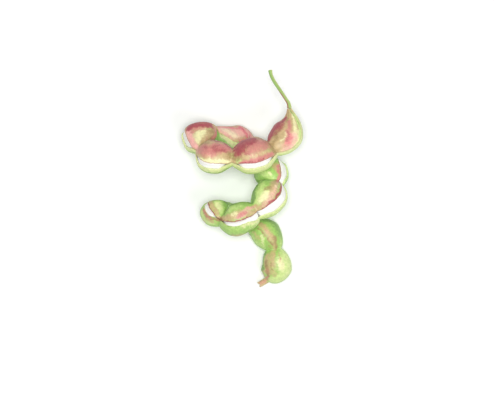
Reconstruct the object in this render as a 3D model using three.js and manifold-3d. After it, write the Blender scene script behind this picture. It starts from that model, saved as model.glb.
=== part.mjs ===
// A manila tamarind pod as picked, lying on a table. The pod is one long string of rounded seed
// chambers that coils through two turns and ends in a straight tail with a beak. Its two valves stay
// joined along the inner margin. Along the outer margin they have sprung apart in places, and a white
// aril, the soft flesh round each seed, shows between them. The stalk is still on it.
//
// Millimetres, +Z up. Seen from above, the stalk points to +Y and the beak to -Y.

import * as THREE from "three";
import { mergeVertices } from "three/addons/utils/BufferGeometryUtils.js";
import Module from "manifold-3d";

// One row for each seed chamber, in order from the stalk, with the two tips of the pod as first and
// last row. at: the chamber's middle. ahead: the way its own axis runs. out: the way its outer margin
// faces. size: from margin to margin, and across the two valves. lips: how far the upper and the lower
// valve stand off the closed margin, where they have parted. neck: the same for the lower valve in the
// neck that follows.
const CHAMBERS = [
  { at: [19.9, 29, 27], ahead: [0.25, -0.95, -0.1], out: [0.75, 0, 0.6],
    size: [14, 12] },
  { at: [19, 18, 26.5], ahead: [-0.5, -0.85, 0.15], out: [0.75, -0.3, 0.58],
    size: [14.2, 12.4] },
  { at: [4.9, 9.6, 32.8], ahead: [-0.97, -0.2, 0.1], out: [0.05, -0.54, 0.84],
    size: [15.2, 13.6], lips: [0.4, 1.8] },
  { at: [-12.2, 9.3, 31.2], ahead: [-0.97, 0.2, -0.2], out: [-0.2, -0.5, 0.84],
    size: [14.8, 12.2], lips: [0.4, 1.8] },
  { at: [-17.4, 18.5, 18.8], ahead: [-0.25, 0.82, -0.5], out: [-0.8, -0.1, 0.55],
    size: [14.8, 12.4], lips: [0.4, 2.6] },
  { at: [-0.8, 17, 5.9], ahead: [0.94, 0.25, -0.25], out: [-0.1, 0.5, -0.85],
    size: [13.4, 10.8] },
  { at: [8.2, 9.8, 5.7], ahead: [0.6, -0.75, 0.2], out: [0.5, 0.5, -0.71],
    size: [13, 10.8] },
  { at: [11.7, 2.7, 16], ahead: [0.3, -0.8, 0.5], out: [0.75, 0.3, 0.6],
    size: [13.8, 11.8], lips: [0.4, 4.4], neck: 2.4 },
  { at: [12, -6.5, 24.4], ahead: [-0.6, -0.75, 0.3], out: [0.55, -0.28, 0.78],
    size: [13.4, 13], lips: [0.4, 3.8], neck: 2.4 },
  { at: [-2.4, -17.2, 26.2], ahead: [-0.98, -0.2, 0], out: [0, -0.25, 0.97],
    size: [13.4, 13.2], lips: [0.4, 0.9] },
  { at: [-10.9, -13.8, 18.4], ahead: [-0.3, 0.8, -0.5], out: [-0.45, 0.1, 0.88],
    size: [12.6, 11.6], lips: [0.4, 1.3] },
  { at: [-2.3, -17.2, 5.9], ahead: [0.9, -0.4, -0.1], out: [0, 0.4, -0.9],
    size: [12.6, 11] },
  { at: [10.2, -22.8, 6.15], ahead: [0.4, -0.9, 0], out: [0.2, 0.15, -0.97],
    size: [13, 12.6] },
  { at: [15, -37.3, 6.1], ahead: [-0.12, -0.99, 0], out: [0.8, -0.1, -0.55],
    size: [12.5, 12.4] },
  { at: [7.6, -44.8, 4.2], ahead: [-0.85, -0.5, -0.1], out: [0.7, -0.7, -0.3],
    size: [13, 12.4] },
];
const LAST = CHAMBERS.length - 1;

const CHAMBER_END = 0.59; // where a chamber's rounded end would close, in chambers from its middle
const POD_END = 0.66; // and where the last chamber's does, at the beak
const TIP_SHARE = 0.16; // the pod's half-width at its stalk end, as a share of the chamber's
const TIP_TAPER = 1.5; // how hollow the pod's outline is towards that end
const BEAK_SHARE = 0.25; // and at the root of its beak
const BEAK_TIP_SHARE = 0.18; // and at the beak's tip
const WALL = 1.0; // thickness of a valve
const THINNEST_SHARE = 0.3; // and where the pod is thin, at most this share of its half-width
const PINCH = [0.22, 0.43]; // parted lips close over this stretch, in chambers from a chamber's middle
const SOLID = [0.41, 0.46]; // and the hollow between the valves ends over this one
const SUTURE = 0.12; // half the width of the groove along the closed outer margin
const WIDEST_SUTURE = 0.5; // and at most this many radians where the pod is thin
const SUTURE_DEPTH = 0.35;
const SUTURE_FOOT = 0.03; // how wide the groove is at its bottom, as a share of the pod's thickness
const RIB_GROOVE = 0.2; // depth of the line along the joined inner margin
const CLEARANCE = 0.3; // between pieces that touch
const MIDDLE = [0.35, -0.25]; // the middle of the whole pod, seen from above: the origin is under it
const ARIL_REACH = 0.39; // half an aril's length, in chambers
const ARIL_REACH_OPEN = 0.46; // and towards a neck that stands open
const ARIL_SLACK = 0.4; // between an aril and the wall round it
const ARIL_SHIFT = 0.5; // how far its middle lies outward from the chamber's
const ARIL_ROUNDNESS = 4; // the power by which its ends close: 2 would be round, and more is blunter
const ARIL_RECESS = 0.35; // how far an aril stays below the upper lip
const ARIL_SLOPE = 0.6; // and how much further below the lower one
const ARIL_CROWN = 0.15; // how much its ridge rises in the middle of the gap
const RIDGE_FOOT = 0.05; // the least that its ridge keeps, in height and to each side, where the gap ends
const RIDGE_GAP = [0.7, 1.3]; // the ridge comes out as the gap between the lips grows from this to this

// The stalk's middle line, from where the pod begins to the cut, and half its thickness at its foot on
// the pod, along its length, and at the cut, where it spreads a little.
const STALK = [
  [20, 29.3, 27], [19.6, 31.2, 27.2], [18.1, 33.6, 27.2], [16.3, 36.4, 26.8],
  [13.9, 40, 26], [12.5, 42.8, 25.3], [12, 45.1, 25],
];
const STALK_FOOT = 0.9;
const STALK_NARROW = 0.7;
const STALK_CUT = 0.85;
const STALK_FOOT_END = 0.3; // the share of its length where its foot has thinned
const STALK_CUT_START = 0.85; // and where it begins to spread
const STALK_STEPS = 22;
const STALK_SIDES = 10;

const STEPS = 10; // sections to a chamber
const OUTER = 20; // points round the outside of a section
const INNER = 10; // and round its inside
const ARIL_STEPS = 10; // sections to an aril

const mix = (a, b, share) => a + (b - a) * share;
const clamp = (value, low, high) => Math.min(high, Math.max(low, value));
const smooth = (low, high, value) => {
  const share = clamp((value - low) / (high - low), 0, 1);
  return share * share * (3 - 2 * share);
};

// The rows before and after a place, which counts chambers from the stalk, and the share between them.
function rowsAt(place) {
  const i = clamp(Math.floor(place), 0, LAST - 1);
  return [CHAMBERS[i], CHAMBERS[i + 1], place - i];
}

// The pod's middle line: it passes through each chamber's middle along that chamber's own axis.
function middleLine(place) {
  const [before, after, f] = rowsAt(place);
  const [from, to] = [new THREE.Vector3(...before.at), new THREE.Vector3(...after.at)];
  const length = from.distanceTo(to);
  const leave = new THREE.Vector3(...before.ahead).setLength(length);
  const reach = new THREE.Vector3(...after.ahead).setLength(length);
  return from.multiplyScalar(1 + f * f * (2 * f - 3))
    .addScaledVector(to, f * f * (3 - 2 * f))
    .addScaledVector(leave, f * (1 - f) ** 2)
    .addScaledVector(reach, f * f * (f - 1));
}

// The pod's half-width at a place, as a share of its chamber's: round chambers with pinched necks.
function swelling(place) {
  if (place < 1) return TIP_SHARE + (1 - TIP_SHARE) * Math.cos((Math.PI / 2) * (1 - place)) ** TIP_TAPER;
  if (place > LAST - 1) {
    const past = place - (LAST - 1);
    const end = Math.sqrt(Math.max(0, 1 - (past / POD_END) ** 2));
    return Math.hypot(end, mix(BEAK_SHARE, BEAK_TIP_SHARE, past));
  }
  return Math.sqrt(1 - ((place - Math.round(place)) / CHAMBER_END) ** 2);
}

// Everything that a section needs: its middle, its axes, its size, and how its valves have parted.
function section(place) {
  const [before, after, f] = rowsAt(place);
  const ease = smooth(0, 1, f);
  const [ahead, out] = ["ahead", "out"].map((key) => {
    const [from, to] = [new THREE.Vector3(...before[key]), new THREE.Vector3(...after[key])];
    return from.normalize().lerp(to.normalize(), ease).normalize();
  });
  out.addScaledVector(ahead, -out.dot(ahead)).normalize();
  const share = swelling(place);
  const a = (mix(before.size[0], after.size[0], ease) / 2) * share;
  const b = (mix(before.size[1], after.size[1], ease) / 2) * share;

  const own = f < 0.5 ? before : after;
  const offMiddle = Math.min(f, 1 - f);
  const lips = own.lips ?? [0, 0];
  const neck = before.neck ?? 0;
  const pinch = smooth(...PINCH, offMiddle);
  const solid = smooth(...SOLID, offMiddle) * (neck > 0 ? 0 : 1);
  return {
    middle: middleLine(place),
    out,
    up: ahead.clone().cross(out),
    a,
    b,
    upper: mix(lips[0], 0, pinch) / (2 * a),
    lower: mix(lips[1], neck, pinch) / (2 * a),
    hollow: own.lips ? 1 - solid : 0,
  };
}

// A point of a section, given along its out and up axes from its middle.
const pointOf = (s, x, y) => s.middle.clone().addScaledVector(s.out, x).addScaledVector(s.up, y);

// Swings a point of a valve about the inner margin.
function swing(s, x, y, angle) {
  const arm = x + s.a;
  return [arm * Math.cos(angle) - y * Math.sin(angle) - s.a, arm * Math.sin(angle) + y * Math.cos(angle)];
}

// The angle that the valve on this side of a section has swung by: none where the two are joined.
function swungBy(s, turn) {
  const tiny = 0.01;
  if (Math.abs(turn - Math.PI) < tiny) return 0;
  return turn < Math.PI ? s.upper : -s.lower;
}

// A closed ring round the husk: the outside of both valves, then the inside back again.
function huskRing(place) {
  const s = section(place);
  const ring = [];
  const lip = Math.min(WIDEST_SUTURE, SUTURE / s.b);
  const wall = Math.min(WALL, s.a * THINNEST_SHARE);
  for (let i = 0; i <= OUTER; i++) {
    const turn = mix(lip, 2 * Math.PI - lip, i / OUTER);
    const groove = i === OUTER / 2 ? RIB_GROOVE : 0;
    ring.push(swing(s, (s.a - groove) * Math.cos(turn), s.b * Math.sin(turn), swungBy(s, turn)));
  }
  const depth = mix(SUTURE_DEPTH, wall, s.hollow);
  const a = s.a - depth;
  const b = s.b - wall;
  for (let i = 0; i <= INNER; i++) {
    const turn = mix(2 * Math.PI - lip, lip, i / INNER);
    const x = a + (a * Math.cos(turn) - a) * mix(SUTURE_FOOT, 1 - wall / (2 * a), s.hollow);
    const y = b * Math.sin(turn) * mix(SUTURE_FOOT, 1, s.hollow);
    ring.push(swing(s, x, y, swungBy(s, turn)));
  }
  return ring.map(([x, y]) => pointOf(s, x, y));
}

// A closed ring round an aril, at a share of its reach before or past the chamber's middle. The aril
// fills its chamber, and a low ridge on it comes out between the lips.
function arilRing(chamber, share) {
  const open = CHAMBERS[share > 0 ? chamber : chamber - 1].neck;
  const reach = open ? ARIL_REACH_OPEN : ARIL_REACH;
  const s = section(chamber + reach * share);
  const a = s.a - WALL - ARIL_SHIFT - ARIL_SLACK;
  const b = s.b - WALL - ARIL_SLACK;
  const ring = [];
  for (let i = 1; i < INNER; i++) {
    const turn = (i / INNER) * 2 * Math.PI;
    ring.push(swing(s, a * Math.cos(turn) + ARIL_SHIFT, b * Math.sin(turn), swungBy(s, turn)));
  }
  const gap = (s.upper + s.lower) * 2 * s.a;
  const side = (CLEARANCE + SUTURE) / (2 * s.a);
  const room = smooth(...RIDGE_GAP, gap);
  const least = RIDGE_FOOT / (2 * s.a);
  const low = Math.min(side - s.lower, -least);
  const high = Math.max(s.upper - side, least);
  const root = s.a + a + ARIL_SHIFT;
  const crestAt = (slope) => mix(root + RIDGE_FOOT, 2 * s.a - ARIL_RECESS - slope, room);
  const [below, crest] = [crestAt(ARIL_SLOPE), crestAt(0)];
  const crown = (below + crest) / 2 + ARIL_CROWN;
  const ridge = [[root, low], [below, low], [crown, (low + high) / 2], [crest, high], [root, high]];
  for (const [radius, angle] of ridge) ring.push([radius * Math.cos(angle) - s.a, radius * Math.sin(angle)]);
  const shrink = Math.sqrt(1 - share ** ARIL_ROUNDNESS);
  return ring.map(([x, y]) => pointOf(s, x * shrink, y * shrink));
}

// The skin over a row of rings that all have the same number of points, with both ends closed.
function skin(rings) {
  const count = rings[0].length;
  const points = rings.flat();
  const triangles = [];
  for (let r = 0; r < rings.length - 1; r++)
    for (let i = 0; i < count; i++) {
      const j = (i + 1) % count;
      const [p, q, u, v] = [r * count + i, r * count + j, (r + 1) * count + i, (r + 1) * count + j];
      triangles.push(p, q, v, p, v, u);
    }
  for (const [ring, start] of [[rings[0], 0], [rings.at(-1), (rings.length - 1) * count]]) {
    const middle = new THREE.Vector3();
    ring.forEach((point) => middle.addScaledVector(point, 1 / count));
    points.push(middle);
    for (let i = 0; i < count; i++) {
      const [p, q] = [start + i, start + ((i + 1) % count)];
      triangles.push(...(start ? [p, q] : [q, p]), points.length - 1);
    }
  }
  const geometry = new THREE.BufferGeometry().setFromPoints(points);
  geometry.setIndex(triangles);
  return geometry;
}

const wasm = await Module();
wasm.setup();

// The same body as a solid that can be cut.
function solid(geometry) {
  const bare = new THREE.BufferGeometry();
  bare.setAttribute("position", geometry.getAttribute("position"));
  bare.setIndex(geometry.index);
  const merged = mergeVertices(bare);
  return new wasm.Manifold(new wasm.Mesh({
    numProp: 3,
    vertProperties: new Float32Array(merged.getAttribute("position").array),
    triVerts: new Uint32Array(merged.index.array),
  }));
}

// The lowest chambers are pressed a little flat where the pod lies on the table.
function flattened(geometry) {
  const [wide, deep] = [200, 20];
  const below = new THREE.BoxGeometry(wide, wide, deep).translate(0, 0, -deep / 2);
  const { numProp, vertProperties, triVerts } = solid(geometry).subtract(solid(below)).getMesh();
  const cut = new THREE.BufferGeometry();
  cut.setAttribute("position", new THREE.Float32BufferAttribute(vertProperties, numProp));
  cut.setIndex(new THREE.Uint32BufferAttribute(triVerts, 1));
  return cut;
}

function husk() {
  const rings = [];
  for (let i = 0; i <= LAST * STEPS; i++) rings.push(huskRing(i / STEPS));
  return flattened(skin(rings));
}

function aril(chamber) {
  const nearEnd = 1.4; // radians, short of the quarter turn at which the aril would close to a point
  const rings = [];
  for (let i = 0; i <= ARIL_STEPS; i++)
    rings.push(arilRing(chamber, Math.sin(mix(-nearEnd, nearEnd, i / ARIL_STEPS))));
  return skin(rings);
}

function stalk() {
  const path = new THREE.CatmullRomCurve3(STALK.map((point) => new THREE.Vector3(...point)));
  const frames = path.computeFrenetFrames(STALK_STEPS, false);
  const rings = frames.normals.map((normal, i) => {
    const share = i / STALK_STEPS;
    const foot = smooth(STALK_FOOT_END, 0, share) * (STALK_FOOT - STALK_NARROW);
    const cut = smooth(STALK_CUT_START, 1, share) * (STALK_CUT - STALK_NARROW);
    const radius = STALK_NARROW + foot + cut;
    const ring = [];
    for (let j = 0; j < STALK_SIDES; j++) {
      const turn = (j / STALK_SIDES) * 2 * Math.PI;
      ring.push(path.getPointAt(share)
        .addScaledVector(normal, Math.cos(turn) * radius)
        .addScaledVector(frames.binormals[i], Math.sin(turn) * radius));
    }
    return ring;
  });
  return skin(rings);
}

const group = new THREE.Group();

function add(name, geometry, colour, roughness) {
  const material = new THREE.MeshStandardMaterial({ color: colour, roughness, metalness: 0 });
  const mesh = new THREE.Mesh(geometry, material);
  geometry.translate(-MIDDLE[0], -MIDDLE[1], 0);
  geometry.computeVertexNormals();
  mesh.name = name;
  group.add(mesh);
}

add("husk", husk(), 0xb5605f, 0.5);
CHAMBERS.forEach((row, chamber) => {
  if (row.lips) add("aril_" + chamber, aril(chamber), 0xf6f3e8, 0.6);
});
add("stalk", stalk(), 0x7f9a4e, 0.6);

export default group;
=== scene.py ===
# A manila tamarind pod as picked, lying on a pale table and seen from straight above. The pod is one
# string of rounded seed chambers that coils through two turns and ends in a straight tail with a beak.
# White arils show where its two valves have sprung apart. Seen from above, the stalk points to +Y.
import math

import bpy
import numpy as np
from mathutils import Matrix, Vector, noise


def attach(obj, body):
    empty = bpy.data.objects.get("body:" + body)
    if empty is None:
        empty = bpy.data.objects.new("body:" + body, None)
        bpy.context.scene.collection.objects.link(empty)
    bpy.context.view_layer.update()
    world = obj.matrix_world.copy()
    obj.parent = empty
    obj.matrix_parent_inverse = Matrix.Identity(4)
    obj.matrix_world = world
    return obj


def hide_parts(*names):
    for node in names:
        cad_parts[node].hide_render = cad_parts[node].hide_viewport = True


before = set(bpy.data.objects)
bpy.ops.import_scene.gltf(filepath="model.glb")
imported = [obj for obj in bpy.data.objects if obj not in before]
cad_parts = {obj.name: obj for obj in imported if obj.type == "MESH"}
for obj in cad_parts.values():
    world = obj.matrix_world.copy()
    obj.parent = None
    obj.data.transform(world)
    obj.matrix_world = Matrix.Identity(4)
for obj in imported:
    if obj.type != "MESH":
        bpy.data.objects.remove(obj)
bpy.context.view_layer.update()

# The view. The photographed pod is seen upright and from the front, so the camera looks straight
# down on the lying one, from far enough away for the picture to have little perspective. In metres.
CAMERA_HEIGHT = 1.3
POD_MIDDLE_HEIGHT = 0.015
PICTURE_PIXELS = 495  # the picture's width
PIXEL_SIZE = 0.00042  # at the pod's middle height
PICTURE_MIDDLE = (0.00221, -0.00878)  # the point of the table that the camera is above
camera_data = bpy.data.cameras.new("camera")
camera_distance = CAMERA_HEIGHT - POD_MIDDLE_HEIGHT
camera_data.lens = camera_data.sensor_width * camera_distance / (PICTURE_PIXELS * PIXEL_SIZE)
camera = bpy.data.objects.new("camera", camera_data)
camera.location = (*PICTURE_MIDDLE, CAMERA_HEIGHT)
bpy.context.scene.collection.objects.link(camera)
bpy.context.scene.camera = camera

# The husk: the pod's two leathery valves, grown as one piece with the beak. They stay joined along the
# inner margin. Along the outer margin they are closed by a fine suture, or have sprung apart at a ripe
# chamber, and each parted lip is thin, a little torn and curled. Sizes are in millimetres, as grown.
MM = 0.001

# One row for each seed chamber, in order from the stalk, with the two tips of the pod as first and last
# row. at: the chamber's middle. ahead: the way its own axis runs. out: the way its outer margin faces.
# size: from margin to margin, and across the two valves. lips: how far the upper and the lower valve
# stand off the closed margin, where they have parted. neck: the same for the lower valve in the neck
# that follows.
CHAMBERS = [
    dict(at=(19.9, 29, 27), ahead=(0.25, -0.95, -0.1), out=(0.75, 0, 0.6),
         size=(14, 12)),
    dict(at=(19, 18, 26.5), ahead=(-0.5, -0.85, 0.15), out=(0.75, -0.3, 0.58),
         size=(14.2, 12.4)),
    dict(at=(4.9, 9.6, 32.8), ahead=(-0.97, -0.2, 0.1), out=(0.05, -0.54, 0.84),
         size=(15.2, 13.6), lips=(0.4, 1.8)),
    dict(at=(-12.2, 9.3, 31.2), ahead=(-0.97, 0.2, -0.2), out=(-0.2, -0.5, 0.84),
         size=(14.8, 12.2), lips=(0.4, 1.8)),
    dict(at=(-17.4, 18.5, 18.8), ahead=(-0.25, 0.82, -0.5), out=(-0.8, -0.1, 0.55),
         size=(14.8, 12.4), lips=(0.4, 2.6)),
    dict(at=(-0.8, 17, 5.9), ahead=(0.94, 0.25, -0.25), out=(-0.1, 0.5, -0.85),
         size=(13.4, 10.8)),
    dict(at=(8.2, 9.8, 5.7), ahead=(0.6, -0.75, 0.2), out=(0.5, 0.5, -0.71),
         size=(13, 10.8)),
    dict(at=(11.7, 2.7, 16), ahead=(0.3, -0.8, 0.5), out=(0.75, 0.3, 0.6),
         size=(13.8, 11.8), lips=(0.4, 4.4), neck=2.4),
    dict(at=(12, -6.5, 24.4), ahead=(-0.6, -0.75, 0.3), out=(0.55, -0.28, 0.78),
         size=(13.4, 13), lips=(0.4, 3.8), neck=2.4),
    dict(at=(-2.4, -17.2, 26.2), ahead=(-0.98, -0.2, 0), out=(0, -0.25, 0.97),
         size=(13.4, 13.2), lips=(0.4, 0.9)),
    dict(at=(-10.9, -13.8, 18.4), ahead=(-0.3, 0.8, -0.5), out=(-0.45, 0.1, 0.88),
         size=(12.6, 11.6), lips=(0.4, 1.3)),
    dict(at=(-2.3, -17.2, 5.9), ahead=(0.9, -0.4, -0.1), out=(0, 0.4, -0.9),
         size=(12.6, 11)),
    dict(at=(10.2, -22.8, 6.15), ahead=(0.4, -0.9, 0), out=(0.2, 0.15, -0.97),
         size=(13, 12.6)),
    dict(at=(15, -37.3, 6.1), ahead=(-0.12, -0.99, 0), out=(0.8, -0.1, -0.55),
         size=(12.5, 12.4)),
    dict(at=(7.6, -44.8, 4.2), ahead=(-0.85, -0.5, -0.1), out=(0.7, -0.7, -0.3),
         size=(13, 12.4)),
]
LAST = len(CHAMBERS) - 1
MIDDLE = np.array([0.35, -0.25, 0])  # the middle of the whole pod, seen from above: the origin is under it
CHAMBER_END = 0.59  # where a chamber's rounded end would close, in chambers from its middle
POD_END = 0.66  # and where the last chamber's does, at the beak
TIP_SHARE = 0.16  # the pod's half-width at its stalk end, as a share of the chamber's
TIP_TAPER = 1.5  # how hollow the pod's outline is towards that end
BEAK_SHARE = 0.25  # the beak's half-width at its root, as a share of the chamber's
BEAK_TIP_SHARE = 0.18  # and at its tip
BEAK_FORK = 0.45  # how far the beak's dry end is split
BEAK_FORK_START = LAST - 0.1  # the place from which the split changes its end
BEAK_CLEFT = math.radians(105)  # how far round the beak the split runs in
WALL = 1.0  # thickness of a valve
THINNEST_SHARE = 0.3  # and where the pod is thin, at most this share of its half-width
LIP_WALL = 0.5  # thickness of a parted lip
LIP_WIDTH = 3.0  # how far from its edge a lip has the valve's full thickness
LIP_TEAR = 0.34  # how far a parted lip is torn back at most, on average half of it
LIP_TEARS = ((1.3, 5.3, 0.5), (0.45, 9.1, 0.35))  # length, pattern and share of its long and short tears
PINCH = (0.22, 0.43)  # parted lips close over this stretch, in chambers from a chamber's middle
SOLID = (0.41, 0.46)  # and the hollow between the valves ends over this one
PARTED_GAP = (0.3, 1.5)  # the suture's edges become torn lips as the gap grows from this to this
SUTURE = 0.12  # half the width of the groove along the closed outer margin
SUTURE_DEPTH = 0.35
SUTURE_FOOT = 0.03  # how wide the groove is at its bottom, as a share of the pod's thickness
LIP_RIM = (0.1, 0.6)  # height and half-width of the swelling along each lip
BACK_RIM = (0.06, 0.7)  # and of the one along the joined inner margin
BACK_GROOVE = (0.22, 0.2)  # depth and half-width of the line in its middle
FULL_RIM = 4.0  # where half the pod's thickness is less than this, its rims and lines are smaller
HINGE = 0.5  # a valve bends over this many radians beside the inner margin
RINGS_TO_A_CHAMBER = 40
NEAR_A_LIP = (0, 0.07, 0.16, 0.28, 0.44, 0.66, 0.95)  # closer points, where a lip turns in
POINTS_TO_A_VALVE = 42
POINTS_INSIDE = 30


def mix(a, b, share):
    return a + (b - a) * share


def smooth(low, high, value):
    share = np.clip((value - low) / (high - low), 0, 1)
    return share * share * (3 - 2 * share)


def unit(vector):
    return vector / np.linalg.norm(vector)


def swelling(place):
    """The pod's half-width at a place, as a share of its chamber's."""
    if place < 1:
        return TIP_SHARE + (1 - TIP_SHARE) * math.cos(math.pi / 2 * (1 - place)) ** TIP_TAPER
    if place > LAST - 1:
        past = place - (LAST - 1)
        round_end = math.sqrt(max(0, 1 - (past / POD_END) ** 2))
        return math.hypot(round_end, mix(BEAK_SHARE, BEAK_TIP_SHARE, past))
    return math.sqrt(1 - ((place - round(place)) / CHAMBER_END) ** 2)


def section(place):
    """A cut across the pod: its middle, its axes, its half-widths, and how far its valves have swung."""
    i = min(int(place), LAST - 1)
    before, after, f = CHAMBERS[i], CHAMBERS[i + 1], place - i
    start, end = np.array(before["at"], float), np.array(after["at"], float)
    reach = np.linalg.norm(end - start)
    leave, arrive = (unit(np.array(row["ahead"], float)) * reach for row in (before, after))
    middle = (start * (1 + f * f * (2 * f - 3)) + end * f * f * (3 - 2 * f)
              + leave * f * (1 - f) ** 2 + arrive * f * f * (f - 1))
    ease = smooth(0, 1, f)
    ahead, out = (unit(mix(unit(np.array(before[key], float)), unit(np.array(after[key], float)), ease))
                  for key in ("ahead", "out"))
    out = unit(out - ahead * out.dot(ahead))
    a, b = (mix(before["size"][k], after["size"][k], ease) / 2 * swelling(place) for k in (0, 1))
    own = before if f < 0.5 else after
    off_middle = min(f, 1 - f)
    lips, neck = own.get("lips", (0, 0)), before.get("neck", 0)
    pinch = smooth(*PINCH, off_middle)
    closed = smooth(*SOLID, off_middle) * (neck == 0)
    return dict(middle=middle - MIDDLE, out=out, up=np.cross(ahead, out), a=a, b=b,
                upper=mix(lips[0], 0, pinch) / (2 * a), lower=mix(lips[1], neck, pinch) / (2 * a),
                hollow=(1 - closed) if "lips" in own else 0)


def gap(s):
    """How far a section's two lips stand apart."""
    return (s["upper"] + s["lower"]) * 2 * s["a"]


def swung(s, x, y, angle):
    """Points of a section after their valve has swung by an angle about the inner margin."""
    arm = x + s["a"]
    x, y = arm * np.cos(angle) - y * np.sin(angle) - s["a"], arm * np.sin(angle) + y * np.cos(angle)
    return s["middle"] + np.outer(x, s["out"]) + np.outer(y, s["up"])


def swing_at(s, turn):
    """How far the valve at each turn round a section has swung."""
    return np.where(turn < math.pi, s["upper"], -s["lower"]) * smooth(0, HINGE, abs(turn - math.pi))


def rim(distance, height, half_width):
    """The height of a rounded rim, or the depth of a line, at a distance from its middle."""
    return height * np.exp(-(distance / half_width) ** 2)


def husk_ring(place, along):
    """The closed ring round the husk at a place: outside both valves, then back along their inside.
    Beside the points it gives, for each, how far round it is, how far from a lip, and whether inside."""
    s = section(place)
    a, b = s["a"], s["b"]
    parted = smooth(*PARTED_GAP, gap(s))
    finer = min(1, b / FULL_RIM)
    near = np.array(NEAR_A_LIP) * finer / b
    valves = []
    for valve in (1, -1):
        tear = 0.5 + sum(share * noise.noise(Vector((along / length, valve * pattern, 0)))
                         for length, pattern, share in LIP_TEARS)
        lip = (SUTURE + LIP_TEAR * parted * max(0, tear)) / b
        turn = np.concatenate([lip + near, np.linspace(lip + near[-1], math.pi, POINTS_TO_A_VALVE + 1)[1:]])
        from_lip, from_back = (turn - lip) * b, (math.pi - turn) * b
        normal = np.stack([np.cos(turn) / a, np.sin(turn) / b])
        normal /= np.linalg.norm(normal, axis=0)
        edge = mix(SUTURE, LIP_WALL / 2, parted)
        dip = np.clip(edge - from_lip, 0, edge)
        height = np.sqrt(edge ** 2 - dip ** 2) - edge + rim(from_lip, *LIP_RIM) * finer
        height += (rim(from_back, *BACK_RIM) - rim(from_back, *BACK_GROOVE)) * finer
        x, y = a * np.cos(turn) + height * normal[0], valve * (b * np.sin(turn) + height * normal[1])
        turn = turn if valve > 0 else 2 * math.pi - turn
        valves.append((turn, from_lip, swung(s, x, y, swing_at(s, turn))))
    (turn_u, lip_u, upper), (turn_l, lip_l, lower) = valves
    outside, turn, from_lip = (np.concatenate([one, other[-2::-1]])
                               for one, other in ((upper, lower), (turn_u, turn_l), (lip_u, lip_l)))

    inner_turn = np.linspace(turn[-1], turn[0], POINTS_INSIDE)
    beside_lip = np.minimum(inner_turn - turn[0], turn[-1] - inner_turn) * b
    wall = mix(LIP_WALL, WALL, smooth(0, LIP_WIDTH, beside_lip)) * min(1, a * THINNEST_SHARE / WALL)
    depth = mix(SUTURE_DEPTH, wall, s["hollow"])
    in_a, in_b = a - depth, b - wall
    x = in_a + (in_a * np.cos(inner_turn) - in_a) * mix(SUTURE_FOOT, 1 - wall / (2 * in_a), s["hollow"])
    y = in_b * np.sin(inner_turn) * mix(SUTURE_FOOT, 1, s["hollow"])
    inside = swung(s, x, y, swing_at(s, inner_turn))
    points = np.concatenate([outside, inside])
    turns = np.concatenate([turn, inner_turn])
    fork = -BEAK_FORK * np.cos(2 * (turns - BEAK_CLEFT)) * smooth(BEAK_FORK_START, LAST, place)
    points += np.outer(fork, np.cross(s["out"], s["up"]))
    return dict(points=points, turn=turns, lip=np.concatenate([from_lip, beside_lip]),
                inside=np.concatenate([np.zeros(len(outside)), np.ones(POINTS_INSIDE)]),
                place=np.full(len(points), place), along=np.full(len(points), along),
                parted=np.full(len(points), parted))


def skin(name, rings):
    """A closed mesh over a row of rings that have the same number of points, with both ends closed."""
    count = len(rings[0])
    points = np.concatenate(rings + [rings[0].mean(0, keepdims=True), rings[-1].mean(0, keepdims=True)])
    j = np.arange(count)
    k = (j + 1) % count
    faces = []
    for r in range(len(rings) - 1):
        here, following = r * count, (r + 1) * count
        faces += np.stack([here + j, here + k, following + k, following + j], 1).tolist()
    first, last = len(points) - 2, len(points) - 1
    faces += [(first, q, p) for p, q in zip(j, k)]
    faces += [(last, following + p, following + q) for p, q in zip(j, k)]
    mesh = bpy.data.meshes.new(name)
    mesh.from_pydata((points * MM).tolist(), [], faces)
    mesh.shade_smooth()
    piece = bpy.data.objects.new(name, mesh)
    bpy.context.scene.collection.objects.link(piece)
    return piece


def lay(piece, name, values):
    """Lays a number or a vector at each point of a skin, for its material to read. The middles of the
    skin's two closed ends, its last points, take what its first and last point have."""
    values = np.concatenate([values, values[:1], values[-1:]]).astype(np.float32)
    kind, field = ("FLOAT", "value") if values.ndim == 1 else ("FLOAT_VECTOR", "vector")
    piece.data.attributes.new(name, kind, "POINT").data.foreach_set(field, values.ravel())


places = np.linspace(0, LAST, LAST * RINGS_TO_A_CHAMBER + 1)
middles = np.array([section(place)["middle"] for place in places])
alongs = np.concatenate([[0], np.cumsum(np.linalg.norm(np.diff(middles, axis=0), axis=1))])
rings = [husk_ring(place, along) for place, along in zip(places, alongs)]
points = np.concatenate([ring["points"] for ring in rings])
points[:, 2] = np.maximum(points[:, 2], 0)  # pressed flat where it lies on the table
husk = skin("valves", np.split(points, len(rings)))

# The husk's colours as a painter reads them, from 0 to 255: its green, and what lies over that, in order.
# Cream is painted highlight.
# Dark green is partly the skin's own, by the stalk, and partly painted shade along the chambers' edges, in
# creases and where one chamber lies over another.
# Pale is partly the skin's own, along the lower lip and lower valves, and partly painted highlight on the
# chambers' middles.
HUSK_COLOURS = {"green": (164, 204, 106), "fresh": (208, 230, 146), "dark_green_and_shade": (128, 166, 86),
                "tan": (206, 180, 132), "brown": (170, 144, 98), "pale_and_highlight": (242, 238, 182),
                "pink": (246, 184, 174), "cream_highlight": (250, 226, 192), "rose": (214, 136, 130),
                "blush": (236, 126, 136), "deep": (174, 80, 88)}
HUSK_INSIDE = (226, 230, 186)
LIP_LINE = (150, 66, 62)

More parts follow.
